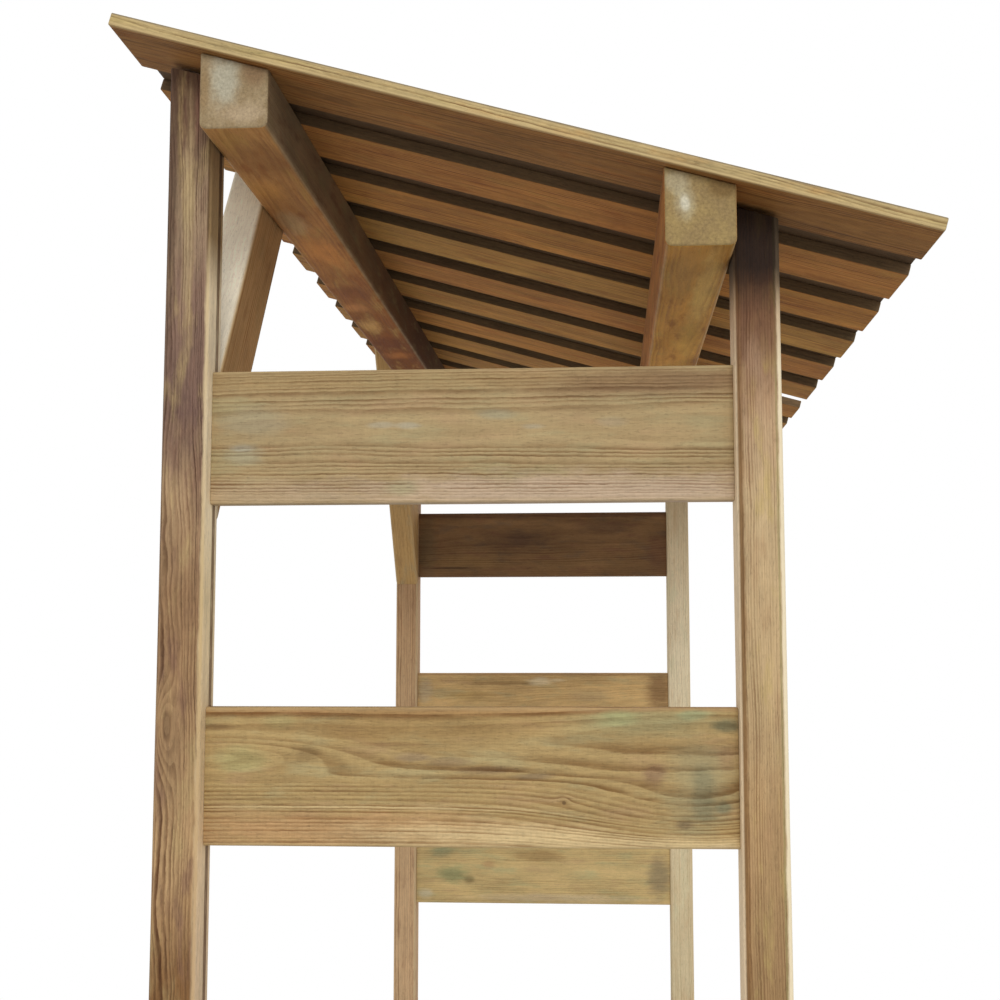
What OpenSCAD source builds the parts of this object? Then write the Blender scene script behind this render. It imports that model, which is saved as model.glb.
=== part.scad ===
// Firewood shelter: an open lean-to frame of rounded timber with a boarded roof.
// +Z is up, +Y runs along the length, +X points to the low eave. It stands on its four
// posts at z = 0, and the origin is under the middle of the whole shelter.

/* [End frames] */
// Length over the two end frames, outside to outside
frame_length = 1480; // [1200:5:1700]
// Depth of each end frame, outside to outside
frame_depth = 606; // [450:2:800]
// Side of the square posts
post_side = 45; // [35:1:70]
// Rounding of the long edges of posts and braces
post_edge = 5; // [1:0.5:9]
// Height of the roof's underside above the outer face of the high posts
high_line = 1660; // [1580:1:1900]
// Gap left between each post top and the roof boards above it
post_gap = 6; // [0.5:0.5:12]

/* [Side boards] */
// Height of one side board
board_height = 133; // [90:1:200]
// Thickness of one side board
board_thick = 20; // [14:1:25]
// Rounding of the long edges of the side boards
board_edge = 2.5; // [0.5:0.5:4]
// Distance of the boards behind the outer face of the posts
board_inset = 17; // [5:1:20]
// Height of the lowest board above the floor
board_start = 215; // [50:5:260]
// Depth of the highest board's lower edge below the high line. The rest are evenly spaced
board_drop = 449; // [400:1:600]

/* [Beams] */
// Width of a beam
beam_width = 68; // [45:1:90]
// Height of a beam on its high side, below the roof
beam_height = 78; // [50:1:110]
// Rounding of the two lower edges of a beam
beam_edge = 8; // [1:0.5:12]
// Length of the beam that stands out past the end frames
beam_out = 44; // [0:1:60]

/* [Knee braces] */
// Depth of a brace across its slope
brace_depth = 84; // [40:1:100]
// Angle of a brace above the level
brace_angle = 57; // [48:1:62]
// Depth of the lowest point of a brace below the high line
brace_drop = 465; // [360:5:560]

/* [Roof] */
// Fall of the roof from the high eave to the low eave, in degrees
roof_fall = 15.6; // [8:0.2:20]
// Overhang of the roof past the high posts, measured level
eave_high = 43; // [0:1:100]
// Overhang of the roof past the low posts, measured level
eave_low = 144; // [0:1:200]
// Overhang of the roof past each end frame
eave_end = 56; // [10:1:120]
// Width of a lower roof board
under_width = 93; // [80:1:110]
// Width of an upper roof board, which covers the gap between two lower ones
cover_width = 93; // [85:1:110]
// Thickness of every roof board
roof_thick = 12.5; // [10:0.5:20]
// Gap between the lower boards where the two roof panels meet
seam_gap = 74; // [10:1:85]
// How far the board over that gap stops short of the low eave
seam_short = 70; // [0:1:120]

/* [Hidden] */
$fn = 48;
// The near end is at the low Y, and the high side is at the low X.
ENDS = ["near", "far"];
SIDES = ["high", "low"];
// Boards in each end frame, and lower boards in the first and second roof panel.
BOARDS = 4;
PANEL_A = 6;
PANEL_B = 5;

// Roof outline: the lowest point of the high eave and the topmost point of the low eave.
roof_x0 = -eave_high;
roof_x1 = frame_depth + eave_low + 2 * roof_thick * sin(roof_fall);
roof_run = (frame_depth + eave_low + eave_high) / cos(roof_fall);
roof_length = frame_length + 2 * eave_end;
under_count = PANEL_A + PANEL_B;
under_pitch = (roof_length - seam_gap - 2 * under_width) / (under_count - 2);
// Spacing of the side boards, and the height of a brace's lowest point.
board_pitch = (high_line - board_drop - board_start) / (BOARDS - 1);
brace_foot = high_line - brace_drop;
// The middle of the whole shelter, which becomes the origin.
mid_x = (roof_x0 + roof_x1) / 2;
mid_y = frame_length / 2;

// Height of the roof's underside at a distance x from the outer face of the high posts.
function roof_z(x) = high_line - x * tan(roof_fall);

// Left edge of lower roof board i, counted from 0 at the near end.
function under_y(i) = i * under_pitch + (i < PANEL_A ? 0 : seam_gap + under_width - under_pitch)
    - eave_end;

POST = [0.58, 0.47, 0.33];
BOARD = [0.60, 0.52, 0.34];
BEAM = [0.63, 0.56, 0.40];
BRACE = [0.56, 0.46, 0.33];
UNDER = [0.50, 0.34, 0.20];
COVER = [0.53, 0.42, 0.28];

// A rectangle with its lower left corner at the origin and round corners.
module round_rect(w, h, r) {
    translate([r, 0]) square([w - 2 * r, h]);
    translate([0, r]) square([w, h - 2 * r]);
    for (x = [r, w - r], y = [r, h - r])
        translate([x, y]) circle(r);
}

// Everything above the roof's underside, lowered by drop.
module above_roof(drop) {
    translate([0, -frame_length, high_line - drop]) rotate([0, roof_fall, 0])
        translate([-frame_depth, 0, 0])
            cube([3 * frame_depth, 3 * frame_length, frame_depth]);
}

// Puts the origin under the middle of the shelter.
module centred() {
    translate([-mid_x, -mid_y, 0]) children();
}

// One post, its top cut to the fall of the roof. far and low are each 0 or 1.
module post(far, low) {
    centred() color(POST) difference() {
        translate([low * (frame_depth - post_side), far * (frame_length - post_side), 0])
            linear_extrude(high_line) round_rect(post_side, post_side, post_edge);
        above_roof(post_gap);
    }
}

// Side board number i, counted from 1 at the bottom, held between the two posts of an end.
module side_board(far, i) {
    y = far == 0 ? board_inset : frame_length - board_inset - board_thick;
    centred() color(BOARD)
        translate([post_side, y, board_start + (i - 1) * board_pitch])
            rotate([90, 0, 90])
                linear_extrude(frame_depth - 2 * post_side)
                    round_rect(board_thick, board_height, board_edge);
}

// Section of a beam before its top is bevelled: only the lower corners are round. It
// stands a little taller than the beam, so that the bevel cuts its whole top.
module beam_section() {
    translate([0, beam_edge]) square([beam_width, beam_height]);
    translate([beam_edge, 0]) square([beam_width - 2 * beam_edge, beam_height]);
    for (x = [beam_edge, beam_width - beam_edge])
        translate([x, beam_edge]) circle(beam_edge);
}

// A beam on the inner side of the posts, bevelled on top to carry the roof boards.
module beam(low) {
    x = low == 0 ? post_side : frame_depth - post_side - beam_width;
    centred() color(BEAM) difference() {
        translate([x, frame_length + beam_out, roof_z(x) - beam_height])
            rotate([90, 0, 0])
                linear_extrude(frame_length + 2 * beam_out) beam_section();
        above_roof(0);
    }
}

// A knee brace at the near end: it butts against the high post and rises away from it
// beside the high beam.
module near_brace_shape() {
    difference() {
        translate([0, post_side, brace_foot]) rotate([brace_angle - 90, 0, 0])
            translate([0, -brace_depth, 0])
                linear_extrude(high_line - brace_foot + brace_depth)
                    round_rect(post_side, brace_depth, post_edge);
        translate([-post_side, post_side - 3 * brace_depth, 0])
            cube([3 * post_side, 3 * brace_depth, 2 * high_line]);
        above_roof(post_gap);
    }
}

// The brace of either end. The far one mirrors the near one.
module brace(far) {
    centred() color(BRACE)
        if (far == 0) near_brace_shape();
        else translate([0, frame_length, 0]) mirror([0, 1, 0]) near_brace_shape();
}

// One roof board of a width at a place along the length, raised off the beams by lift. It
// stops a length short of the low eave.
module roof_board(y, width, lift, short = 0) {
    translate([0, y, high_line]) rotate([0, roof_fall, 0])
        translate([-eave_high / cos(roof_fall), 0, lift])
            cube([roof_run - short, width, roof_thick]);
}

// Lower roof board i, counted from 1 at the near end.
module under_board(i) {
    centred() color(UNDER) roof_board(under_y(i - 1), under_width, 0);
}

// Upper roof board i, centred over the gap behind its lower board. The one over the seam
// between the two panels stops short of the low eave.
module cover_board(i) {
    gap_mid = (under_y(i - 1) + under_width + under_y(i)) / 2;
    centred() color(COVER) roof_board(gap_mid - cover_width / 2, cover_width, roof_thick,
        i == PANEL_A ? seam_short : 0);
}

for (far = [0, 1], low = [0, 1])
    post(far, low);
for (far = [0, 1], i = [1:BOARDS])
    side_board(far, i);
for (low = [0, 1])
    beam(low);
for (far = [0, 1])
    brace(far);
for (i = [1:under_count])
    under_board(i);
for (i = [1:under_count - 1])
    cover_board(i);
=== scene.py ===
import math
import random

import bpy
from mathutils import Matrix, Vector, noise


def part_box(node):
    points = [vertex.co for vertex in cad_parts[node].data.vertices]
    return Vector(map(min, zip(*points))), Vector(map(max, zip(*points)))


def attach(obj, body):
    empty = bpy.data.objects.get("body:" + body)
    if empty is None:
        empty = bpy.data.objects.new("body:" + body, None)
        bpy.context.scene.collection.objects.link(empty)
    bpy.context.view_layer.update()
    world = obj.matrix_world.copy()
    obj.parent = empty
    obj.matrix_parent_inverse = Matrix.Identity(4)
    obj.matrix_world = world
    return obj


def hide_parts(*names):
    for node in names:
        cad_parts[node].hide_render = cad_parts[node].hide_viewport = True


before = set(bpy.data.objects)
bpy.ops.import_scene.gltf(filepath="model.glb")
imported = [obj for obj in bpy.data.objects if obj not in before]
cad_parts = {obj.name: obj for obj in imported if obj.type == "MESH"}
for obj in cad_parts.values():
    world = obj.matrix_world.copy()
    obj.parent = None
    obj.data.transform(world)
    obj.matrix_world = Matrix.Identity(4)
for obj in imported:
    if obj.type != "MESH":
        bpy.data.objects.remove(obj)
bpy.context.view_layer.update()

# Firewood shelter: an open lean-to frame of pressure-treated softwood with a boarded roof.
# Every timber is built at its place in the frame with round edges, slightly uneven faces and
# a solid wood material of its own, whose growth rings run through the piece.
# Metres. +Z is up, +Y runs away from the near end, +X points to the low eave.

# Without a seed this noise starts from the clock.
noise.seed_set(1)

RIGHT, AWAY, UP = Vector((1, 0, 0)), Vector((0, 1, 0)), Vector((0, 0, 1))
WHITE = (1, 1, 1, 1)

# Sizes that the boxes of the frame's nodes don't tell.
ROOF_FALL = math.radians(15.6)
BRACE_RISE = math.radians(57)
BRACE_DEPTH = 0.084
ROOF_THICK = 0.0125
# Rounding of the long edges.
POST_ROUND = 0.005
BOARD_ROUND = 0.0025
BEAM_ROUND = 0.008
BEAM_TOP_ROUND = 0.0015
ROOF_ROUND = 0.0012
# Easing of the edges round the cut ends.
POST_ARRIS = 0.0012
BOARD_ARRIS = 0.0006
BEAM_ARRIS = 0.003
ROOF_ARRIS = 0.001
# The faces stray this far from flat, in so many waves a metre along and across the grain,
# shifted from piece to piece. The sections that carry the waves are a station apart.
UNEVEN = 0.00025
WAVES_ALONG, WAVES_ACROSS = 5, 25
WAVES_SHIFT = 7.3
STATION = 0.05

DOWN_SLOPE = Vector((math.cos(ROOF_FALL), 0, -math.sin(ROOF_FALL)))
ROOF_NORMAL = Vector((math.sin(ROOF_FALL), 0, math.cos(ROOF_FALL)))


# -------------------- shapes of the timber

def linked(name, points, faces):
    """A new object of these points and faces, in the scene."""
    mesh = bpy.data.meshes.new(name)
    mesh.from_pydata(points, [], faces)
    piece = bpy.data.objects.new(name, mesh)
    bpy.context.scene.collection.objects.link(piece)
    return piece


def rounded_section(corners, steps=5):
    """Outline of a section whose (y, z, radius) corners run anticlockwise, each rounded."""
    outline = []
    for k, (y, z, radius) in enumerate(corners):
        here = Vector((y, z))
        back = (Vector(corners[k - 1][:2]) - here).normalized()
        ahead = (Vector(corners[(k + 1) % len(corners)][:2]) - here).normalized()
        half_angle = back.angle(ahead) / 2
        centre = here + (back + ahead).normalized() * radius / math.sin(half_angle)
        reach = radius / math.tan(half_angle)
        first, last = here + back * reach - centre, here + ahead * reach - centre
        turn = first.angle_signed(last)
        for s in range(steps + 1):
            arm = first.copy()
            arm.rotate(Matrix.Rotation(-turn * s / steps, 2))
            outline.append(tuple(centre + arm))
    return outline


def box_section(width, thick, radius):
    y, z = width / 2, thick / 2
    return rounded_section([(-y, -z, radius), (y, -z, radius), (y, z, radius), (-y, z, radius)])


def placed(centre, along, face):
    """Places a timber: its grain runs along local X and its outer face looks along local Z."""
    across = face.cross(along)
    turn = Matrix((along, across, face)).transposed()
    return Matrix.Translation(centre) @ turn.to_4x4()


def end_plane(matrix, point, normal):
    """Where the plane cuts the timber: x = a + b y + c z in the timber's own axes."""
    turn = matrix.to_3x3()
    slope = normal.dot(turn.col[0])
    return (normal.dot(point - matrix.translation) / slope,
            -normal.dot(turn.col[1]) / slope, -normal.dot(turn.col[2]) / slope)


def timber(name, matrix, outline, low_cut, high_cut, material, seed, arris):
    """One piece of timber between two cuts, with eased ends and slightly uneven faces."""
    half_y = max(abs(p[0]) for p in outline)
    half_z = max(abs(p[1]) for p in outline)
    length = high_cut[0] - low_cut[0]
    stations = max(3, round(length / STATION))
    # (share of the length, distance off the cut, inset of the section)
    rings = [(0, 0, arris), (0, 0.3 * arris, 0.3 * arris)]
    rings += [(s / stations, arris * (1 - 2 * s / stations), 0) for s in range(stations + 1)]
    rings += [(1, -0.3 * arris, 0.3 * arris), (1, 0, arris)]
    points, faces = [], []
    for share, off, inset in rings:
        for y, z in outline:
            y, z = y * (1 - inset / half_y), z * (1 - inset / half_z)
            start = low_cut[0] + low_cut[1] * y + low_cut[2] * z
            stop = high_cut[0] + high_cut[1] * y + high_cut[2] * z
            x = start + (stop - start) * share + off
            wave = noise.noise_vector(Vector((x * WAVES_ALONG + seed * WAVES_SHIFT,
                                              y * WAVES_ACROSS, z * WAVES_ACROSS)))
            points.append((x, y + UNEVEN * wave.y, z + UNEVEN * wave.z))
    n = len(outline)
    for k in range(len(rings) - 1):
        for i in range(n):
            j = (i + 1) % n
            faces.append((k * n + i, k * n + j, (k + 1) * n + j, (k + 1) * n + i))
    faces.append(tuple(range(n))[::-1])
    faces.append(tuple((len(rings) - 1) * n + i for i in range(n)))
    piece = linked(name + "_timber", points, faces)
    piece.data.polygons.foreach_set("use_smooth", [True] * len(faces))
    piece.data.materials.append(material)
    piece.matrix_world = matrix
    piece.modifiers.new("even_faces", "WEIGHTED_NORMAL").weight = 60
    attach(piece, "root")
    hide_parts(name)
    return piece


# -------------------- wood

def tone(code):
    """Linear colour of a six-digit sRGB code."""
    parts = [int(code[k:k + 2], 16) / 255 for k in (0, 2, 4)]
    return tuple(c / 12.92 if c <= 0.04045 else ((c + 0.055) / 1.055) ** 2.4
                 for c in parts) + (1,)


class Shader:
    """Short names for adding nodes to one material or world."""

    def __init__(self, data):
        data.use_nodes = True
        self.data = data
        self.tree = data.node_tree
        self.tree.nodes.clear()

    def add(self, kind, values=(), **settings):
        node = self.tree.nodes.new("ShaderNode" + kind)
        for key, value in settings.items():
            setattr(node, key, value)
        for socket, value in (values.items() if isinstance(values, dict) else enumerate(values)):
            if isinstance(value, bpy.types.NodeSocket):
                self.tree.links.new(value, node.inputs[socket])
            else:
                node.inputs[socket].default_value = value
        return node

    def math(self, operation, *values):
        return self.add("Math", values, operation=operation).outputs[0]

    def sum(self, *values):
        total = values[0]
        for value in values[1:]:
            total = self.math("ADD", total, value)
        return total

    def product(self, *values):
        total = values[0]
        for value in values[1:]:
            total = self.math("MULTIPLY", total, value)
        return total

    def swing(self, noise_value, width):
        """Turns noise around 0.5 into an offset around 0, width times as strong."""
        return self.product(self.math("SUBTRACT", noise_value, 0.5), width)

    def step(self, value, low, high, first=0.0, last=1.0):
        """Runs smoothly from first to last while the value goes from low to high."""
        node = self.add("MapRange", {"Value": value, "From Min": low, "From Max": high,
                                     "To Min": first, "To Max": last},
                        interpolation_type="SMOOTHSTEP")
        return node.outputs["Result"]

    def mix(self, amount, first, second, blend_type="MIX"):
        node = self.add("Mix", {0: amount, 6: first, 7: second}, data_type="RGBA",
                        blend_type=blend_type)
        return node.outputs[2]

    def times(self, colour, tint, amount=1.0):
        return self.mix(amount, colour, tint, "MULTIPLY")

    def grey(self, value):
        return self.add("CombineColor", (value, value, value)).outputs[0]

    def noise(self, place, along, across, detail, rough, shift=0.0):
        """Noise whose cells are along by across metres."""
        scaled = self.add("VectorMath", (place, (1 / along, 1 / across, 1 / across)),
                          operation="MULTIPLY").outputs[0]
        moved = self.add("VectorMath", (scaled, (shift, shift * 1.7, shift * 0.6)),
                         operation="ADD").outputs[0]
        return self.add("TexNoise", {"Vector": moved, "Scale": 1.0, "Detail": detail,
                                     "Roughness": rough}, noise_dimensions="3D").outputs["Fac"]

    def ramp(self, value, stops):
        """Colour that passes through the (value, tint) stops."""
        first, last = stops[0][0], stops[-1][0]
        even = self.math("DIVIDE", self.math("SUBTRACT", value, first), last - first)
        node = self.add("ValToRGB", (even,))
        elements = node.color_ramp.elements
        for position, _ in stops[1:-1]:
            elements.new((position - first) / (last - first))
        for element, (position, tint) in zip(elements, stops):
            element.position = (position - first) / (last - first)
            element.color = tone(tint)
        return node.outputs["Color"]

    def background_ray(self):
        """1 for the rays that show the background: seen at once, in gloss or through glass."""
        path = self.add("LightPath").outputs
        seen = self.math("MAXIMUM", path["Is Camera Ray"], path["Is Glossy Ray"])
        return self.math("MAXIMUM", seen, path["Is Transmission Ray"])


LOOK = {
    "light": "b89e70",      # wood between the rings
    "line": "a88a62",       # what the dark line of a ring multiplies it by
    "ring": 0.0027,         # spacing of the growth rings
    "pith": (0.0, -0.050),  # where the middle of the tree lies, across and through the piece
    "lean": 0.012,          # how fast the rings leave the face along the piece
    "wander": 0.005,        # slow waviness of the rings
    "ripple": 0.0006,       # quick waviness of the rings
    "contrast": 0.9,        # strength of the lines
    "calm": 0.45,           # what is left of the lines where the rings lie flat in the face
    "fibre": 0.15,          # strength of the fine streaks
    "pores": 0.14,          # strength of the short dark pores
    "saw": 0.05,            # strength of the saw's marks across the grain
    "tint_a": ("a8a078", 0.40),  # greenish patches of the preservative: colour, amount
    "tint_b": ("b3906c", 0.35),  # warm patches
    "blotch": 0.09,         # strength of broad light and dark patches
    "run": [],              # broad tones along the piece: (along, colour)
    "painted_shade_along": [],             # painted shade over everything along the piece: (along, colour)
    "stripes": [],          # lines along a face: (direction, from z, to z, colour, amount)
    "marks": [],            # placed tints: (along, across, reach, reach across, colour, amount)
    "knots": [],            # (along, across, radius, darkness, stretch, rings around it)
    "faces": [],            # painted shade of a face by the way it looks: ((x, y, z), colour)
    "face_tone_and_painted_light": [],            # another colour on a face, mostly painted light and shade: ((x, y, z), colour, amount)
    "edge": ("cdb88e", 0.35, 0.35),  # rubbed edges: colour, amount at +across and -across
    "rubbed": (0.0012, 0.0050),  # how far in from an edge the rubbing starts and ends to fade
    "rubbed_to": 9.0,       # how far along the piece the rubbed edges reach
    "painted_light_fades": [],            # painted light and shade of a face along the piece: (direction, [(along, colour)])
    "end": ("a8966c", 0.8),  # end grain: colour, amount
    "end_marks": [],        # stains on the ends: (across, through, reach, reach, colour, amount)
}

# The wood's noises: the size of their cells along and across the grain, their detail and
# roughness, and a shift that keeps them apart.
NOISES = {
    "slow_y": (0.28, 0.05, 2.0, 0.5, 0.0),      # slow waves of the rings, across and through
    "slow_z": (0.20, 0.06, 2.0, 0.5, 9.1),
    "quick": (0.014, 0.007, 2.0, 0.6, 4.4),     # quick waves of the rings
    "patchy": (0.07, 0.010, 3.0, 0.6, 2.3),     # where the lines are strong or faint
    "streak": (0.09, 0.0024, 3.0, 0.62, 5.5),   # long fibres
    "fine": (0.012, 0.0016, 3.0, 0.7, 7.7),     # short fibres
    "pores": (0.007, 0.0016, 2.0, 0.6, 1.2),
    "saw": (0.0021, 0.012, 2.0, 0.6, 6.6),      # marks of the saw, across the grain
    "ragged": (0.035, 0.010, 4.0, 0.65, 8.8),   # outlines of stains and rubbed edges
    "patch": (0.07, 0.018, 4.0, 0.6, 11.3),     # patches of preservative
    "blotch": (0.11, 0.030, 3.0, 0.55, 14.2),   # broad light and dark
    "mottle": (0.018, 0.018, 4.0, 0.7, 3.3),    # end grain
    "speck": (0.0028, 0.0028, 2.0, 0.6, 6.1),
}
SEED_SHIFT = 3.17       # how far one piece's noises lie from the next one's
KNOT_REACH = 1.9        # how far a knot parts the grain, in its radii
KNOT_PUSH = 0.8         # how much of the way out it pushes the grain
KNOT_TONE = "4a3422"
END_DARK = "86704e"     # the darker patches of the end grain
YEARS = 60.0            # keeps the age of a ring above 0
UNEVEN_YEARS = 1.8      # how far the rings stray from an even spacing, in rings
LATE_STARTS = (0.18, 0.80)  # the parts of a year in which the dark wood comes and goes
LATE_ENDS = (0.88, 1.0)
FAINT = 0.35            # what is left of a ring's line where it is faint
# Where effects start and are whole, on the noise or the slope that drives them.
PORES = (0.56, 0.70)
PATCHY_LINES = (0.28, 0.66)
STEEP_RINGS = (0.10, 0.55)
TINT_A = (0.50, 0.70)
TINT_B = (0.30, 0.48)   # whole at the first, gone at the second
MOTTLE = (0.38, 0.66)
ON_END = (0.45, 0.70)
# The same for distances from a knot in its radii, and from a stain's middle in its reach.
KNOT_EDGE = (0.5, 1.1)
STAIN_EDGE = (0.3, 1.15)
RAGGED_STAIN = 1.1      # how ragged: stains, in their reach, then the rest in metres
RAGGED_RUN, RAGGED_PAINTED_SHADE, RAGGED_RUB = 0.10, 0.02, 0.004
SOFT_EDGE = 0.0008      # softness of the stripes' edges
RUBBED_TAIL = 0.06      # length over which the rubbed edges fade out
BUMP_STRENGTH, BUMP_DEPTH = 0.55, 0.0006
ROUGHNESS = 0.66        # of the smoothest fibre
GLOSS = 0.2


class Wood(Shader):
    """Solid softwood whose growth rings run along the timber's own X axis."""

    def __init__(self, name, seed, half_width, half_thick, look):
        super().__init__(bpy.data.materials.new(name))
        self.look = {**LOOK, **look}
        place = self.add("TexCoord").outputs
        self.x, self.y, self.z = self.add("SeparateXYZ", (place["Object"],)).outputs
        self.facing = place["Normal"]
        self.noises = {}
        for key, (along, across, detail, rough, shift) in NOISES.items():
            self.noises[key] = self.noise(place["Object"], along, across, detail, rough,
                                          seed * SEED_SHIFT + shift)
        self.pores = self.step(self.noises["pores"], *PORES)
        self.part_grain()
        self.late = self.growth_rings()
        colour = self.grained(self.stained())
        colour = self.worn_and_painted_light(colour, half_width, half_thick)
        self.finish(self.with_painted_shade(self.ended(colour)))

    def towards(self, direction, low=0.4, high=0.85):
        """1 where a face looks in the direction, 0 elsewhere."""
        side = self.add("VectorMath", (self.facing, direction), operation="DOT_PRODUCT")
        return self.step(side.outputs["Value"], low, high)

    def spot(self, colour, first, second, ragged, centre, reach, tint, amount):
        """A ragged oval stain in the plane of two coordinates."""
        u = self.math("DIVIDE", self.math("SUBTRACT", first, centre[0]), reach[0])
        v = self.math("DIVIDE", self.math("SUBTRACT", second, centre[1]), reach[1])
        apart = self.math("SQRT", self.sum(self.product(u, u), self.product(v, v)))
        apart = self.sum(apart, self.swing(self.noises[ragged], RAGGED_STAIN))
        return self.mix(self.step(apart, *STAIN_EDGE, amount, 0.0), colour, tone(tint))

    def part_grain(self):
        """The grain parts around each knot, which also lifts some rings to the face."""
        self.grain_y, self.lift, self.knots = self.y, 0.0, 0.0
        for along, across, radius, darkness, stretch, rings in self.look["knots"]:
            away = self.math("DIVIDE", self.math("SUBTRACT", self.x, along), stretch)
            off = self.math("SUBTRACT", self.grain_y, across)
            square = self.sum(self.product(away, away), self.product(off, off))
            spread = -2 * (KNOT_REACH * radius) ** 2
            near = self.math("EXPONENT", self.math("DIVIDE", square, spread))
            pushed = self.product(off, near, KNOT_PUSH)
            self.grain_y = self.math("SUBTRACT", self.grain_y, pushed)
            self.lift = self.sum(self.lift, self.product(near, rings))
            start, stop = (radius * share for share in KNOT_EDGE)
            heart = self.step(self.math("SQRT", square), start, stop, darkness, 0.0)
            self.knots = self.math("MAXIMUM", self.knots, heart)

    def growth_rings(self):
        """How strong the dark late wood is. Slow and quick waves bend the rings, and some
        rings are darker than others."""
        look, noises = self.look, self.noises
        pith_y, pith_z = look["pith"]
        wave = self.sum(self.swing(noises["slow_y"], 2 * look["wander"]),
                        self.swing(noises["quick"], 2 * look["ripple"]))
        ring_y = self.sum(self.grain_y, wave, -pith_y)
        ring_z = self.sum(self.z, self.swing(noises["slow_z"], 2 * look["wander"]), -pith_z)
        radius = self.math("SQRT", self.sum(self.product(ring_y, ring_y),
                                            self.product(ring_z, ring_z)))
        leant = self.sum(radius, self.product(self.x, look["lean"]))
        yearly = self.add("TexNoise", {"W": self.product(leant, 0.3 / look["ring"]),
                                       "Scale": 1.0, "Detail": 1.0}, noise_dimensions="1D")
        age = self.sum(self.math("DIVIDE", leant, look["ring"]),
                       self.product(yearly.outputs["Fac"], UNEVEN_YEARS), YEARS, self.lift)
        part = self.math("FRACT", age)
        late = self.product(self.step(part, *LATE_STARTS),
                            self.step(part, *LATE_ENDS, 1.0, 0.0))
        strong = self.add("TexWhiteNoise", {"W": self.math("FLOOR", age)},
                          noise_dimensions="1D").outputs["Value"]
        # How steeply the rings meet the face, from 0 where they lie flat in it.
        _, facing_y, facing_z = self.add("SeparateXYZ", (self.facing,)).outputs
        cross = self.math("SUBTRACT", self.product(ring_y, facing_z),
                          self.product(ring_z, facing_y))
        steep = self.math("ABSOLUTE", self.math("DIVIDE", cross, radius))
        return self.product(late, self.step(noises["patchy"], *PATCHY_LINES, FAINT),
                            self.step(strong, 0.0, 1.0, FAINT),
                            self.step(steep, *STEEP_RINGS, look["calm"]))

    def stained(self):
        """Broad colour: the tone along the piece, patches of preservative, placed stains."""
        look = self.look
        colour = tone(look["light"])
        if look["run"]:
            uneven = self.sum(self.x, self.swing(self.noises["ragged"], RAGGED_RUN))
            colour = self.ramp(uneven, look["run"])
        tint, amount = look["tint_a"]
        patch = self.step(self.noises["patch"], *TINT_A, 0.0, amount)
        colour = self.mix(patch, colour, tone(tint))
        tint, amount = look["tint_b"]
        patch = self.step(self.noises["patch"], *TINT_B, amount, 0.0)
        colour = self.mix(patch, colour, tone(tint))
        for along, across, reach, reach_across, tint, amount in look["marks"]:
            colour = self.spot(colour, self.x, self.grain_y, "ragged", (along, across),
                               (reach, reach_across), tint, amount)
        return colour

    def grained(self, colour):
        """Rings, face colours that are mostly painted light and shade, fibres, pores, the saw's
        marks and knots.
        """
        look, noises = self.look, self.noises
        lines = self.mix(self.product(self.late, look["contrast"]), WHITE, tone(look["line"]))
        colour = self.times(colour, lines)
        # Painted light and shade, partly paler wood: a face that looks a given way takes another
        # colour.
        for direction, tint, amount in look["face_tone_and_painted_light"]:
            seen = self.product(self.towards(direction), amount)
            colour = self.mix(seen, colour, tone(tint))
        shade = self.sum(1.0, self.swing(noises["blotch"], 4 * look["blotch"]),
                         self.swing(noises["streak"], 2 * look["fibre"]),
                         self.swing(noises["fine"], 3 * look["fibre"]),
                         self.swing(noises["saw"], 2 * look["saw"]),
                         self.product(self.pores, -look["pores"]))
        colour = self.times(colour, self.grey(shade))
        return self.mix(self.knots, colour, tone(KNOT_TONE))

    def worn_and_painted_light(self, colour, half_width, half_thick):
        """Painted shade by the way a face looks, rubbed edges, and stripes and ramps of painted
        light and shade along single faces.
        """
        look, ragged = self.look, self.noises["ragged"]
        # Painted shade: a face that looks a given way is darkened.
        for direction, tint in look["faces"]:
            colour = self.times(colour, tone(tint), self.towards(direction))
        margin = self.math("MAXIMUM",
                           self.math("SUBTRACT", half_width, self.math("ABSOLUTE", self.y)),
                           self.math("SUBTRACT", half_thick, self.math("ABSOLUTE", self.z)))
        margin = self.sum(margin, self.swing(ragged, RAGGED_RUB))
        tint, plus, minus = look["edge"]
        rubbed = self.product(self.step(margin, *look["rubbed"], 1.0, 0.0),
                              self.step(self.y, -0.002, 0.002, minus, plus),
                              self.step(self.x, look["rubbed_to"] - RUBBED_TAIL,
                                        look["rubbed_to"], 1.0, 0.0))
        colour = self.mix(rubbed, colour, tone(tint))
        for direction, start, stop, tint, amount in look["stripes"]:
            stripe = self.product(
                self.towards(direction),
                self.step(self.z, start - SOFT_EDGE, start + SOFT_EDGE),
                self.step(self.z, stop - SOFT_EDGE, stop + SOFT_EDGE, 1.0, 0.0),
                self.step(ragged, 0.25, 0.55, 0.55 * amount, amount))
            colour = self.mix(stripe, colour, tone(tint))
        # Painted light and shade along a face.
        for direction, stops in look["painted_light_fades"]:
            colour = self.times(colour, self.ramp(self.x, stops),
                                self.towards(direction, 0.1, 0.6))
        return colour

    def ended(self, colour):
        """On the cut ends the wood is mottled, with only a hint of the rings."""
        tint, end_amount = self.look["end"]
        mottle = self.step(self.noises["mottle"], *MOTTLE, 0.0, 0.6)
        end = self.mix(mottle, tone(tint), tone(END_DARK))
        for across, through, reach, reach_through, tint, amount in self.look["end_marks"]:
            end = self.spot(end, self.y, self.z, "mottle", (across, through),
                            (reach, reach_through), tint, amount)
        grit = self.sum(1.0, self.swing(self.noises["speck"], 0.9),
                        self.product(self.late, -0.10))
        end = self.times(end, self.grey(grit))
        facing_x = self.add("SeparateXYZ", (self.facing,)).outputs["X"]
        on_end = self.step(self.math("ABSOLUTE", facing_x), *ON_END)
        return self.mix(self.product(on_end, end_amount), colour, end)

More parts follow.
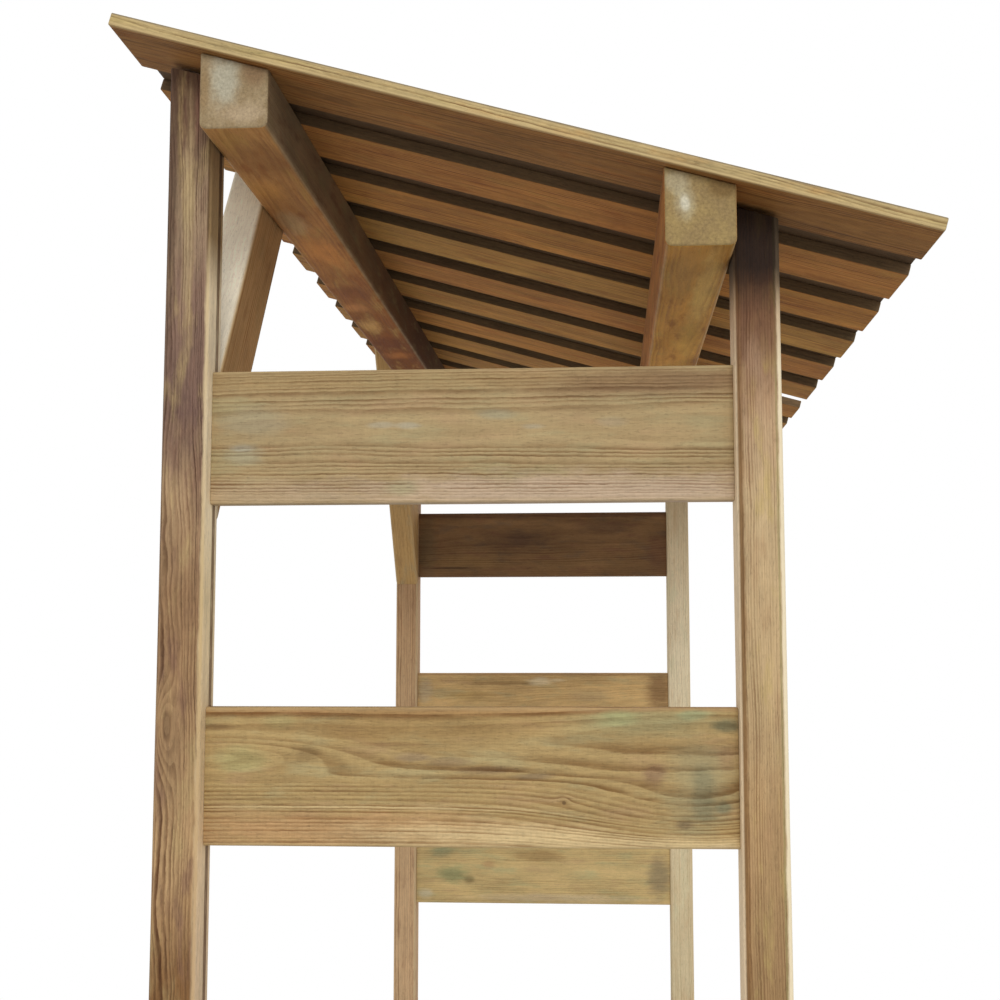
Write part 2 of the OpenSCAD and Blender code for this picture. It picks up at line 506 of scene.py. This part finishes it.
    def with_painted_shade(self, colour):
        """Painted shade over everything, ends included."""
        if not self.look["painted_shade_along"]:
            return colour
        shaded_height = self.sum(self.x, self.swing(self.noises["ragged"], RAGGED_PAINTED_SHADE))
        return self.times(colour, self.ramp(shaded_height, self.look["painted_shade_along"]))

    def finish(self, colour):
        """The colour, with a surface that the rings, fibres and pores roughen."""
        streak, fine, saw = (self.noises[key] for key in ("streak", "fine", "saw"))
        height = self.sum(self.product(self.late, -0.5), self.product(streak, 0.55),
                          self.product(fine, 0.35), self.product(saw, 0.2),
                          self.product(self.pores, -0.5))
        bump = self.add("Bump", {"Strength": BUMP_STRENGTH, "Distance": BUMP_DEPTH,
                                 "Height": height})
        rough = self.sum(ROUGHNESS, self.product(streak, 0.22), self.product(self.late, -0.08))
        surface = self.add("BsdfPrincipled", {"Base Color": colour, "Roughness": rough,
                                              "Specular IOR Level": GLOSS,
                                              "Normal": bump.outputs["Normal"]})
        self.add("OutputMaterial", {"Surface": surface.outputs[0]})


# How each kind of timber looks, and what is special about single pieces. Runs, marks and
# knots are in the timber's own metres. Along: posts count up from the floor, the others from
# their middle, side boards to the right, beams and braces away and up, roof boards down the
# slope. Across: to the left on posts, beams and the near brace, to the right on the far one,
# up on side boards and away on the roof.
KIND_LOOKS = {
    "post": {"light": "b2906a", "line": "96704a", "ring": 0.0024, "pith": (0.050, -0.020),
             "lean": 0.010, "wander": 0.004, "edge": ("cdb78f", 0.15, 0.8), "saw": 0.03,
             "calm": 0.7, "tint_a": ("b89d78", 0.35), "tint_b": ("9a7456", 0.45)},
    "board": {"light": "b79c70", "line": "a2845a", "ring": 0.0025, "pith": (0.006, -0.045),
              "edge": ("c4ac80", 0.3, 0.3)},
    "beam": {"light": "b09264", "line": "b8946a", "ring": 0.0030, "pith": (0.0, -0.06),
             "tint_a": ("b8a26a", 0.6), "tint_b": ("8e5c34", 0.6), "end": ("9f8b6b", 0.97),
             "blotch": 0.14},
    "brace": {"light": "bc9a64", "line": "a8845c", "ring": 0.0030, "pith": (0.01, -0.05),
              "tint_a": ("a39a7c", 0.4), "tint_b": ("8e6c4c", 0.35)},
    "roof": {"light": "b89a64", "line": "7c5a3a", "ring": 0.0024, "pith": (0.02, 0.045),
             "tint_a": ("ac9860", 0.5), "tint_b": ("9c7048", 0.6), "blotch": 0.2,
             "fibre": 0.3, "edge": ("c2a878", 0.2, 0.2)},
}
PIECE_LOOKS = {
    # The board at eye level: rippled lines near both edges, a calm middle with grey-green
    # spots of preservative, and a pinkish lower part.
    "near_board_4": {
        "light": "ac946b", "ring": 0.0024, "pith": (0.008, -0.044), "lean": -0.004, "ripple": 0.001,
        "calm": 0.3, "wander": 0.003, "line": "9c7c56", "saw": 0.08,
        "marks": [
            (0.17, 0.05, 0.16, 0.018, "806044", 0.65), (0.12, -0.058, 0.34, 0.024, "c6ae94", 0.85),
            (-0.2, -0.058, 0.14, 0.02, "b8a080", 0.6), (-0.1, 0.055, 0.3, 0.016, "a1865a", 0.5),
            (-0.216, 0.015, 0.045, 0.018, "a8a083", 0.5),
            (-0.224, -0.018, 0.022, 0.014, "a8a288", 0.5),
            (-0.2255, -0.0115, 0.014, 0.004, "b4b09e", 0.5),
            (-0.088, 0.011, 0.016, 0.004, "aca590", 0.5),
            (-0.061, 0.01, 0.014, 0.004, "b4ad9a", 0.5),
            (0.026, 0.021, 0.022, 0.007, "96947c", 0.5),
            (0.064, 0.008, 0.016, 0.0035, "aaa490", 0.45),
            (0.141, 0.012, 0.018, 0.006, "a49a80", 0.35),
            (-0.066, -0.052, 0.02, 0.01, "a9a37c", 0.5)]},
    # The board below: grain parted by a large stained knot at its right, a flame of rings
    # that runs out at its left, and close, straight rings along its lower edge.
    "near_board_3": {
        "light": "af9463", "ring": 0.0033, "pith": (0.034, -0.040), "lean": 0.004, "calm": 0.45,
        "wander": 0.002, "line": "a08058", "contrast": 0.85, "fibre": 0.22, "saw": 0.10,
        "knots": [(0.216, -0.010, 0.0180, 0.0, 2.6, -4.0), (0.0915, -0.020, 0.0016, 0.6, 1.5, 0.6),
                  (-0.245, 0.018, 0.0075, 0.0, 6.0, 4.5)],
        "marks": [
            # The pinker, closely lined lower part and the browner upper edge.
            (-0.12, -0.050, 0.26, 0.022, "bf976a", 0.75),
            (0.12, -0.054, 0.28, 0.018, "d6be8e", 0.8),
            (-0.10, -0.0285, 0.25, 0.0035, "ccb484", 0.7),
            (0.17, 0.044, 0.09, 0.022, "9a9870", 0.5),
            (0.0, 0.062, 0.9, 0.006, "a87c50", 0.6), (-0.05, 0.048, 0.16, 0.022, "9a7a4a", 0.5),
            (0.235, -0.060, 0.030, 0.012, "c6b294", 0.5),
            # The dark lens in the middle.
            (-0.055, 0.018, 0.022, 0.005, "8e7862", 0.5),
            (-0.020, 0.014, 0.030, 0.006, "846c54", 0.5),
            (0.020, 0.006, 0.040, 0.005, "806850", 0.5),
            (0.062, -0.001, 0.026, 0.0035, "6e5a4a", 0.55),
            (-0.075, 0.030, 0.040, 0.0025, "806040", 0.4),
            # The flame at the left, and the stains beside it.
            (-0.158, 0.021, 0.016, 0.006, "7c6440", 0.55),
            (-0.222, 0.016, 0.030, 0.009, "a8a470", 0.5),
            (-0.248, 0.045, 0.022, 0.005, "765a3a", 0.55),
            (-0.185, 0.052, 0.020, 0.010, "a8a06c", 0.4),
            # Green, grey and brown stains on and around the knot.
            (0.178, -0.005, 0.014, 0.006, "846450", 0.6),
            (0.222, -0.006, 0.040, 0.034, "949070", 0.45),
            (0.224, -0.012, 0.014, 0.015, "72745c", 0.5),
            (0.206, -0.028, 0.012, 0.005, "6e5c48", 0.55),
            (0.247, 0.038, 0.018, 0.009, "525844", 0.65),
            (0.215, 0.053, 0.020, 0.008, "98a47c", 0.5),
            (0.143, 0.050, 0.025, 0.012, "a4aa78", 0.5),
            (0.246, 0.004, 0.010, 0.010, "a0805c", 0.5),
            (0.243, -0.016, 0.010, 0.004, "60705c", 0.5)]},
    # Purple-brown above eye level, tan below, with a pale rubbed arris on the side of the bay.
    "near_high_post": {
        "ring": 0.0023, "pith": (0.044, -0.030), "lean": 0.016, "wander": 0.009, "calm": 0.8,
        "ripple": 0.0011, "edge": ("dcc69e", 0.05, 0.95), "line": "7c5a3c", "blotch": 0.18,
        "tint_a": ("b49c6c", 0.55), "tint_b": ("7c5a4a", 0.6), "fibre": 0.22, "contrast": 1.0,
        "knots": [(0.995, 0.010, 0.0042, 0.35, 3.6, 5.0)],
        "run": [(0.75, "835f3a"), (0.86, "b8966c"), (0.97, "a2825d"), (1.12, "967554"),
                (1.22, "a78a68"), (1.30, "765b4f"), (1.42, "8b6f5d"), (1.50, "a1886b"),
                (1.60, "654a39")],
        "marks": [(1.52, 0.018, 0.20, 0.008, "5e4838", 0.8),
                  (1.50, 0.0, 0.16, 0.007, "b49c74", 0.6)],
        # Painted light: the inner face is lit up by a pale colour, partly its paler wood, and a
        # ramp along the height paints its light and shade.
        "face_tone_and_painted_light": [((0, -1, 0), "f8e8c8", 0.9)], "rubbed_to": 1.49,
        "painted_light_fades": [((0, -1, 0), [(0.80, "eadcd0"), (1.12, "f4ecda"), (1.28, "ffffff"),
                                (1.42, "fffcf4"), (1.480, "a08e74"), (1.60, "84705a")])],
        # Painted shade: the dark line on the inner face stands for the shade in a narrow recess.
        "stripes": [((0, -1, 0), -0.012, -0.003, "6c5034", 0.85)]},
    # Painted shade: the top is painted near black as the roof's shadow, by the last stops of the
    # run and the darkening ramp over them. A broad pale arris on the right, a brown line on the
    # left.
    "near_low_post": {
        "ring": 0.0019, "pith": (0.052, -0.016), "lean": 0.004, "wander": 0.0035, "calm": 0.8,
        "edge": ("ecdcba", 0.0, 1.0), "rubbed": (0.0030, 0.0058), "line": "9a7c58",
        "contrast": 0.65, "tint_b": ("a88460", 0.35), "tint_a": ("bca468", 0.6), "blotch": 0.16,
        "run": [(0.75, "a08058"), (0.92, "b29268"), (1.00, "bea278"), (1.20, "c4aa82"),
                (1.30, "b89876"), (1.36, "846045"), (1.46, "8a6c58")],
        # Painted shade of the roof, darkening the top.
        "painted_shade_along": [(1.335, "ffffff"), (1.388, "dcd0c8"), (1.408, "b0a49a"), (1.421, "80746a"),
                 (1.436, "58504a")],
        "marks": [(0.9, 0.0190, 3.0, 0.0042, "86643e", 0.9),
                  (0.9, -0.0165, 3.0, 0.0014, "9a9060", 0.6),
                  (1.370, 0.0, 0.050, 0.030, "8c6a50", 0.8),
                  (1.345, 0.004, 0.028, 0.012, "ac8c70", 0.6),
                  (1.310, 0.010, 0.030, 0.012, "a07c5c", 0.5)],
        # Painted light: the inner face is lit up by a pale colour, partly its paler wood.
        "face_tone_and_painted_light": [((0, 1, 0), "f0d8b4", 0.85)],
        # Painted shade: the dark line on the inner face stands for the shade in a narrow recess.
        "stripes": [((0, 1, 0), -0.024, -0.0175, "5c4430", 0.8)]},
    "far_board_4": {
        "light": "80603e", "line": "8a6440", "contrast": 0.5, "blotch": 0.2,
        "tint_a": ("6b5640", 0.7), "tint_b": ("74503a", 0.6), "edge": ("7a5c3e", 0.3, 0.3),
        "marks": [
            (-0.240, 0.0, 0.024, 0.09, "6c5e44", 0.5), (-0.046, 0.010, 0.030, 0.018, "5c4438", 0.6),
            (0.0, 0.062, 0.9, 0.008, "5a3c28", 0.7), (-0.05, 0.010, 0.10, 0.030, "58402c", 0.6),
            (0.14, 0.035, 0.07, 0.020, "5c4430", 0.6), (-0.16, -0.035, 0.10, 0.016, "8c6c42", 0.6),
            (0.08, -0.040, 0.14, 0.014, "8a6a44", 0.5), (-0.19, -0.048, 0.07, 0.003, "3c2a1a", 0.7),
            (0.24, -0.02, 0.03, 0.05, "6a4834", 0.6)]},
    "far_board_3": {
        "light": "c8a670", "blotch": 0.25, "line": "b09468", "contrast": 0.5,
        "marks": [
            (0.0, 0.064, 0.5, 0.003, "94603c", 0.6), (-0.07, 0.046, 0.11, 0.005, "8a6a42", 0.6),
            (-0.004, 0.05, 0.03, 0.011, "dcc8a0", 0.8), (0.03, 0.052, 0.02, 0.004, "dcc8a0", 0.6),
            (-0.243, 0.03, 0.02, 0.03, "b8a88c", 0.5), (0.24, 0.03, 0.032, 0.05, "80603f", 0.75),
            (0.1, 0.02, 0.05, 0.018, "b8a074", 0.5), (-0.15, 0.02, 0.06, 0.014, "ac9058", 0.5)]},
    "far_board_2": {
        "light": "c8ae78", "tint_a": ("a8ab7e", 0.4), "blotch": 0.22, "line": "b09468",
        "contrast": 0.45,
        "marks": [
            (-0.184, -0.008, 0.04, 0.022, "7e8a60", 0.65),
            (-0.205, 0.036, 0.032, 0.012, "8a9470", 0.6),
            (-0.15, -0.02, 0.014, 0.009, "6e6240", 0.6),
            (-0.24, -0.048, 0.02, 0.012, "ccc4a6", 0.6),
            (-0.01, 0.028, 0.07, 0.016, "a08050", 0.55), (0.236, -0.01, 0.03, 0.05, "80735a", 0.7),
            (0.02, -0.055, 0.2, 0.01, "d0bc9a", 0.5), (-0.11, 0.01, 0.016, 0.01, "ac7e58", 0.4)]},
    "far_high_post": {"contrast": 0.6, "run": [(0.3, "ceac84"), (0.9, "ccaa80"), (1.15, "c19c74"),
                                               (1.30, "b6906a"), (1.50, "a07c58")]},
    "far_low_post": {"contrast": 0.5, "tint_a": ("d4ceaa", 0.5), "line": "b89c74",
                     "tint_b": ("c8a880", 0.4), "blotch": 0.05,
                     "run": [(0.3, "cbbb97"), (0.6, "d4c29c"), (1.05, "e9dab8"), (1.25, "dfcca8"),
                             (1.5, "c0aa82")]},
    "far_brace": {"light": "be9963", "contrast": 0.6},
    # Painted light makes the face that looks out near white; painted shade darkens the inner ones,
    # which are brown.
    "near_brace": {"light": "c0a884", "face_tone_and_painted_light": [((0, 0, 1), "fff6de", 0.96)], "line": "c8b08c",
                   "faces": [((0, 0, -1), "ecd4b4"), ((0, -1, 0), "ecd4b4")]},
    # Painted shade darkens and greys its inner side, and darkens and warms its underside.
    "high_beam": {
        "blotch": 0.2, "contrast": 0.45, "faces": [((0, -1, 0), "acaeb4"), ((0, 0, -1), "f0d6b4")],
        "run": [
            (-0.78, "bc9c70"), (-0.35, "b28858"), (0.0, "94683c"), (0.24, "865834"),
            (0.78, "a07c50")],
        "marks": [
            (-0.7, -0.01, 0.06, 0.03, "8c6a48", 0.6), (-0.61, 0.01, 0.04, 0.02, "cca468", 0.6),
            (-0.5, 0.01, 0.05, 0.02, "beb092", 0.7), (-0.38, 0.0, 0.07, 0.03, "d8a264", 0.7),
            (-0.19, 0.0, 0.05, 0.04, "845838", 0.75), (-0.11, 0.01, 0.03, 0.02, "d0a070", 0.6),
            (0.0, 0.01, 0.05, 0.02, "dcc088", 0.8), (0.12, 0.0, 0.05, 0.04, "74482c", 0.8),
            (0.21, 0.0, 0.03, 0.03, "c48c56", 0.6)],
        "end_marks": [
            (0.008, 0.01, 0.018, 0.03, "b4b09c", 0.75), (-0.02, 0.016, 0.016, 0.018, "84684a", 0.8),
            (0.03, 0.0, 0.006, 0.03, "8e7450", 0.7), (-0.01, -0.024, 0.03, 0.012, "b8a284", 0.6)]},
    # Browner and paler halves run along its underside. Painted shade darkens its inner side and its
    # underside.
    "low_beam": {
        "light": "c89c62", "end": ("9c8556", 0.97), "blotch": 0.26, "contrast": 0.5,
        "faces": [((0, 1, 0), "e0c0a0"), ((0, 0, -1), "e6d6a4")],
        "marks": [
            (-0.7, 0.012, 0.14, 0.02, "b4946c", 0.55), (-0.62, -0.015, 0.2, 0.015, "dabe8c", 0.75),
            (-0.4, -0.012, 0.12, 0.017, "ceaa6a", 0.7), (-0.4, 0.016, 0.06, 0.012, "ae8244", 0.5),
            (-0.05, 0.01, 0.2, 0.02, "b08450", 0.5)],
        "end_marks": [
            (0.0145, 0.004, 0.012, 0.02, "beb698", 0.5),
            (0.0145, 0.003, 0.006, 0.01, "e0dcc8", 0.6),
            (0.022, 0.024, 0.016, 0.014, "b0a68a", 0.6),
            (-0.022, 0.018, 0.02, 0.016, "745a34", 0.8)]},
    # Painted shade darkens and warms its underside.
    "under_board_1": {"light": "bba473", "edge": ("c8b080", 0.0, 0.6), "tint_b": ("b88e54", 0.6),
                      "faces": [((0, 0, -1), "cca684")], "line": "8a6a44",
                      "stripes": [((0, -1, 0), 0.0046, 0.0070, "6c6253", 0.8)]},
}
# Painted shade: the undersides of the lower roof boards, and what lies in their shade, are
# darkened; the undersides are warmed too.
PAINTED_UNDERSIDE_SHADE = [((0, 0, -1), "f6d6aa")]
UNDER_EDGE = ("8a6a44", 0.0, 0.0)
PAINTED_SIDE_SHADE = [((0, -1, 0), "604c36", 0.9), ((0, 1, 0), "6c5640", 0.9)]
PAINTED_COVER_SHADE = [((0, 0, -1), "4a3828", 0.9)]
ROOF_LIGHTS = ("b89a64", "bb965e", "b89e68", "b6905e")


def timber_material(kind, name, seed, half_width, half_thick):
    """The material of one piece: its kind's look, varied a little, then its own."""
    chance = random.Random(1000 + seed)
    look = dict(KIND_LOOKS[kind])
    pith = look["pith"]
    look["pith"] = (pith[0] + chance.uniform(-0.4, 0.4) * half_width,
                    pith[1] * chance.uniform(0.7, 1.5))
    look["ring"] *= chance.uniform(0.85, 1.2)
    look["lean"] = chance.uniform(-0.02, 0.02)
    if kind == "roof":
        look["light"] = chance.choice(ROOF_LIGHTS)
    if name.startswith("cover_board"):
        look["face_tone_and_painted_light"] = PAINTED_COVER_SHADE
    elif name.startswith("under_board"):
        look["faces"] = PAINTED_UNDERSIDE_SHADE
        look["face_tone_and_painted_light"] = [] if name == "under_board_1" else PAINTED_SIDE_SHADE
        look["edge"] = UNDER_EDGE
    look.update(PIECE_LOOKS.get(name, {}))
    return Wood(name + "_wood", seed, half_width, half_thick, look).data


# -------------------- the pieces

def build_post(name, seed):
    low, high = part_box(name)
    side = high.x - low.x
    middle = (low + high) / 2
    matrix = placed(Vector((middle.x, middle.y, 0)), UP, -AWAY)
    top = end_plane(matrix, Vector((low.x, low.y, high.z)), ROOF_NORMAL)
    material = timber_material("post", name, seed, side / 2, side / 2)
    timber(name, matrix, box_section(side, side, POST_ROUND),
           (0, 0, 0), top, material, seed, POST_ARRIS)


def build_side_board(name, seed):
    low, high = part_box(name)
    size = high - low
    matrix = placed((low + high) / 2, RIGHT, -AWAY)
    material = timber_material("board", name, seed, size.z / 2, size.y / 2)
    timber(name, matrix, box_section(size.z, size.y, BOARD_ROUND),
           (-size.x / 2, 0, 0), (size.x / 2, 0, 0), material, seed, BOARD_ARRIS)


def build_beam(name, seed):
    low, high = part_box(name)
    size = high - low
    matrix = placed((low + high) / 2, AWAY, UP)
    y, z, fall = size.x / 2, size.z / 2, size.x * math.tan(ROOF_FALL)
    outline = rounded_section([(-y, -z, BEAM_ROUND), (y, -z, BEAM_ROUND),
                               (y, z, BEAM_TOP_ROUND), (-y, z - fall, BEAM_TOP_ROUND)])
    material = timber_material("beam", name, seed, y, z)
    timber(name, matrix, outline, (-size.y / 2, 0, 0), (size.y / 2, 0, 0),
           material, seed, BEAM_ARRIS)


def brace_lines(low, high):
    """How a brace lies in its box: the way into the shelter, the y of its heel, the way
    it rises and the way its upper face looks."""
    inward, heel_y = (AWAY, low.y) if low.y < 0 else (-AWAY, high.y)
    along = inward * math.cos(BRACE_RISE) + UP * math.sin(BRACE_RISE)
    face = -inward * math.sin(BRACE_RISE) + UP * math.cos(BRACE_RISE)
    return inward, heel_y, along, face


def build_brace(name, seed):
    low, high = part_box(name)
    inward, heel_y, along, face = brace_lines(low, high)
    width = high.x - low.x
    foot = Vector(((low.x + high.x) / 2, heel_y, low.z))
    middle = (high.z - low.z) / 2 / math.sin(BRACE_RISE)
    matrix = placed(foot + face * BRACE_DEPTH / 2 + along * middle, along, face)
    heel = end_plane(matrix, foot, inward)
    top = end_plane(matrix, Vector((low.x, heel_y, high.z)), ROOF_NORMAL)
    material = timber_material("brace", name, seed, width / 2, BRACE_DEPTH / 2)
    timber(name, matrix, box_section(width, BRACE_DEPTH, POST_ROUND),
           heel, top, material, seed, POST_ARRIS)


def build_roof_board(name, seed):
    low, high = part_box(name)
    size = high - low
    run = (size.x - ROOF_THICK * math.sin(ROOF_FALL)) / math.cos(ROOF_FALL)
    matrix = placed((low + high) / 2, DOWN_SLOPE, ROOF_NORMAL)
    material = timber_material("roof", name, seed, size.y / 2, ROOF_THICK / 2)
    timber(name, matrix, box_section(size.y, ROOF_THICK, ROOF_ROUND),
           (-run / 2, 0, 0), (run / 2, 0, 0), material, seed, ROOF_ARRIS)


# What a node is, by a part of its name. The first that fits is taken.
BUILDERS = [("_post", build_post), ("under_board", build_roof_board),
            ("cover_board", build_roof_board), ("_board_", build_side_board),
            ("_beam", build_beam), ("_brace", build_brace)]
for seed, name in enumerate(sorted(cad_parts)):
    next(build for part, build in BUILDERS if part in name)(name, seed)


# -------------------- screws

ROOF_SCREW = 0.0042      # radius of the heads
FRAME_SCREW = 0.0050
# The rings of a head, from its rim in: share of the radius, height over the wood. The last
# two are the edge and the floor of the star recess.
HEAD_RINGS = [(1.0, -0.0005), (0.98, 0.0002), (0.88, 0.0004), (0.44, 0.0004), (0.40, 0.0001)]
HEAD_SIDES = 36
STAR_SHARE = 0.5         # rings inside this share of the radius follow the star
STAR_POINTS = 6
STAR_DEPTH = 0.06
COVER_MARGIN = 0.0095    # from the edge of a cover board to its screws
UNDER_APART = 0.014      # from the middle of a lower roof board to its screws
BOARD_SHARES = (0.2, 0.8)     # heights of the screws in a side board, as shares of its own
BEAM_SCREWS = ((-0.010, 0.3), (0.010, 0.55))   # off the post's middle, share of the beam
HEEL_SCREW = 0.085            # up the brace from its heel
TOP_SCREWS = ((0.115, -0.018), (0.085, 0.018))  # down from the brace's top, off its middle


def steel(name, colour, roughness):
    """Brushed zinc plating, a little uneven."""
    s = Shader(bpy.data.materials.new(name))
    here = s.add("TexCoord").outputs["Object"]
    patch = s.noise(here, 0.002, 0.002, 3.0, 0.6)
    tint = s.mix(s.step(patch, 0.35, 0.65), tone(colour), tone("6e6a60"))
    rough = s.sum(roughness, s.product(patch, 0.25))
    bump = s.add("Bump", {"Strength": 0.3, "Distance": 0.0001, "Height": patch})
    surface = s.add("BsdfPrincipled", {"Base Color": tint, "Metallic": 0.9, "Roughness": rough,
                                       "Normal": bump.outputs["Normal"]})
    s.add("OutputMaterial", {"Surface": surface.outputs[0]})
    return s.data


def screw_heads(name, places, radius, materials):
    """Countersunk heads, just proud of the wood, with a star recess. Each place is a
    point on the wood and the direction it faces."""
    corners, faces, recessed = [], [], []
    inmost = len(HEAD_RINGS) - 1
    for point, outward in places:
        first = len(corners)
        right = outward.orthogonal().normalized()
        up = outward.cross(right)
        for share, height in HEAD_RINGS:
            for i in range(HEAD_SIDES):
                turn = 2 * math.pi * i / HEAD_SIDES
                reach = share * radius
                if share < STAR_SHARE:
                    reach += STAR_DEPTH * radius * math.cos(STAR_POINTS * turn)
                corners.append(point + outward * height
                               + (right * math.cos(turn) + up * math.sin(turn)) * reach)
        corners.append(point + outward * HEAD_RINGS[-1][1])
        for ring in range(inmost):
            for i in range(HEAD_SIDES):
                a = first + ring * HEAD_SIDES + i
                b = first + ring * HEAD_SIDES + (i + 1) % HEAD_SIDES
                faces.append((a, b, b + HEAD_SIDES, a + HEAD_SIDES))
                recessed.append(ring == inmost - 1)
        inner = first + inmost * HEAD_SIDES
        for i in range(HEAD_SIDES):
            faces.append((inner + i, inner + (i + 1) % HEAD_SIDES, inner + HEAD_SIDES))
            recessed.append(True)
    piece = linked(name, corners, faces)
    for material in materials:
        piece.data.materials.append(material)
    for face, deep in zip(piece.data.polygons, recessed):
        face.material_index = int(deep)
        face.use_smooth = not deep
    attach(piece, "root")


def roof_screws():
    """Two screws through every roof board over each beam."""
    places = []
    for name in sorted(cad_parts):
        if not name.startswith(("under_board", "cover_board")):
            continue
        low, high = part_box(name)
        top = (low + high) / 2 + ROOF_NORMAL * ROOF_THICK / 2
        apart = UNDER_APART
        if name.startswith("cover_board"):
            apart = (high.y - low.y) / 2 - COVER_MARGIN
        for beam in ("high_beam", "low_beam"):
            beam_low, beam_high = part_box(beam)
            along = ((beam_low.x + beam_high.x) / 2 - top.x) / DOWN_SLOPE.x
            for y in (-apart, apart):
                places.append((top + DOWN_SLOPE * along + AWAY * y, ROOF_NORMAL))
    return places


def post_screws():
    """Screws through the outer sides of the posts into the side boards and beams."""
    places = []
    for side, outward in (("high", -RIGHT), ("low", RIGHT)):
        beam_low, beam_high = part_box(side + "_beam")
        for end in ("near", "far"):
            low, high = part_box(end + "_" + side + "_post")
            x = low.x if side == "high" else high.x
            for name in sorted(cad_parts):
                if name.startswith(end + "_board_"):
                    board_low, board_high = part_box(name)
                    y = (board_low.y + board_high.y) / 2
                    for share in BOARD_SHARES:
                        z = board_low.z + share * (board_high.z - board_low.z)
                        places.append((Vector((x, y, z)), outward))
            for off, share in BEAM_SCREWS:
                y = (low.y + high.y) / 2 + off
                z = beam_low.z + share * (beam_high.z - beam_low.z)
                places.append((Vector((x, y, z)), outward))
    return places


def brace_screws():
    """Screws through the outer sides of the braces, one into the post and two into the beam."""
    places = []
    for name in ("near_brace", "far_brace"):
        low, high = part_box(name)
        _, heel_y, along, face = brace_lines(low, high)
        middle = Vector((low.x, heel_y, low.z)) + face * BRACE_DEPTH / 2
        run = (high.z - low.z) / math.sin(BRACE_RISE)
        places.append((middle + along * HEEL_SCREW, -RIGHT))
        for down, off in TOP_SCREWS:
            places.append((middle + along * (run - down) + face * off, -RIGHT))
    return places


# The near-black second steel on the shallow star recess is painted shade of the recess.
screw_metals = [steel("screw_steel", "a8a69c", 0.30), steel("screw_recess_painted_shade", "2c2a26", 0.6)]
screw_heads("roof_screws", roof_screws(), ROOF_SCREW, screw_metals)
screw_heads("frame_screws", post_screws() + brace_screws(), FRAME_SCREW, screw_metals)


# -------------------- floor, light and camera

FLOOR_REACH = 30
FLOOR_GREY = (0.6, 0.6, 0.6, 1)
FLOOR_FADE = (1.0, 1.9)    # the floor turns white between these distances from the middle
SKY_STRENGTH = 0.8
# Name, energy, angle across, and where it stands: degrees from the near end and over the floor.
SUNS = (("key", 1.1, 26, 10, 24), ("back_fill", 0.5, 40, 160, 45))


def pale_floor():
    """A pale floor that turns pure white away from the shelter."""
    r = FLOOR_REACH
    floor = linked("floor", [(-r, -r, 0), (r, -r, 0), (r, r, 0), (-r, r, 0)], [(0, 1, 2, 3)])
    s = Shader(bpy.data.materials.new("floor"))
    here = s.add("TexCoord").outputs["Object"]
    distance = s.add("VectorMath", (here,), operation="LENGTH").outputs["Value"]
    shown = s.product(s.background_ray(), s.step(distance, *FLOOR_FADE))
    pale = s.add("BsdfDiffuse", {"Color": FLOOR_GREY})
    white = s.add("Emission", {"Color": WHITE})
    blend = s.add("MixShader", (shown, pale.outputs[0], white.outputs[0]))
    s.add("OutputMaterial", {"Surface": blend.outputs[0]})
    floor.data.materials.append(s.data)


def soft_sky():
    """An even sky, which shows as pure white."""
    s = Shader(bpy.data.worlds.new("studio"))
    bpy.context.scene.world = s.data
    sky = s.add("Background", {"Color": WHITE, "Strength": SKY_STRENGTH})
    white = s.add("Background", {"Color": WHITE})
    blend = s.add("MixShader", (s.background_ray(), sky.outputs[0], white.outputs[0]))
    s.add("OutputWorld", {"Surface": blend.outputs[0]})


def soft_suns():
    for name, energy, spread, azimuth, height in SUNS:
        sun = bpy.data.lights.new(name, "SUN")
        sun.energy = energy
        sun.angle = math.radians(spread)
        lamp = bpy.data.objects.new(name, sun)
        bpy.context.scene.collection.objects.link(lamp)
        azimuth, height = math.radians(azimuth), math.radians(height)
        towards = Vector((math.sin(azimuth) * math.cos(height),
                          -math.cos(azimuth) * math.cos(height), math.sin(height)))
        lamp.rotation_euler = towards.to_track_quat("Z", "Y").to_euler()


def camera():
    """The photo's own view: close to one end, at chest height, looking a little up."""
    data = bpy.data.cameras.new("camera")
    data.sensor_width = 36
    data.lens = 46.55
    data.shift_x, data.shift_y = -0.0307, 0.0254
    data.clip_start, data.clip_end = 0.05, 200
    stand = Matrix.Translation((0.0793, -1.9749, 1.0737))
    # In radians: to the left, up and anticlockwise.
    turn, rise, roll = 0.0583, 0.0907, -0.0016
    level = Vector((-math.sin(turn), math.cos(turn), 0))
    side = Vector((math.cos(turn), math.sin(turn), 0))
    ahead = level * math.cos(rise) + UP * math.sin(rise)
    top = UP * math.cos(rise) - level * math.sin(rise)
    x_axis = side * math.cos(roll) + top * math.sin(roll)
    y_axis = top * math.cos(roll) - side * math.sin(roll)
    cam = bpy.data.objects.new("camera", data)
    bpy.context.scene.collection.objects.link(cam)
    cam.matrix_world = stand @ Matrix((x_axis, y_axis, -ahead)).transposed().to_4x4()
    bpy.context.scene.camera = cam


pale_floor()
soft_sky()
soft_suns()
camera()
bpy.context.scene.view_settings.view_transform = "Standard"
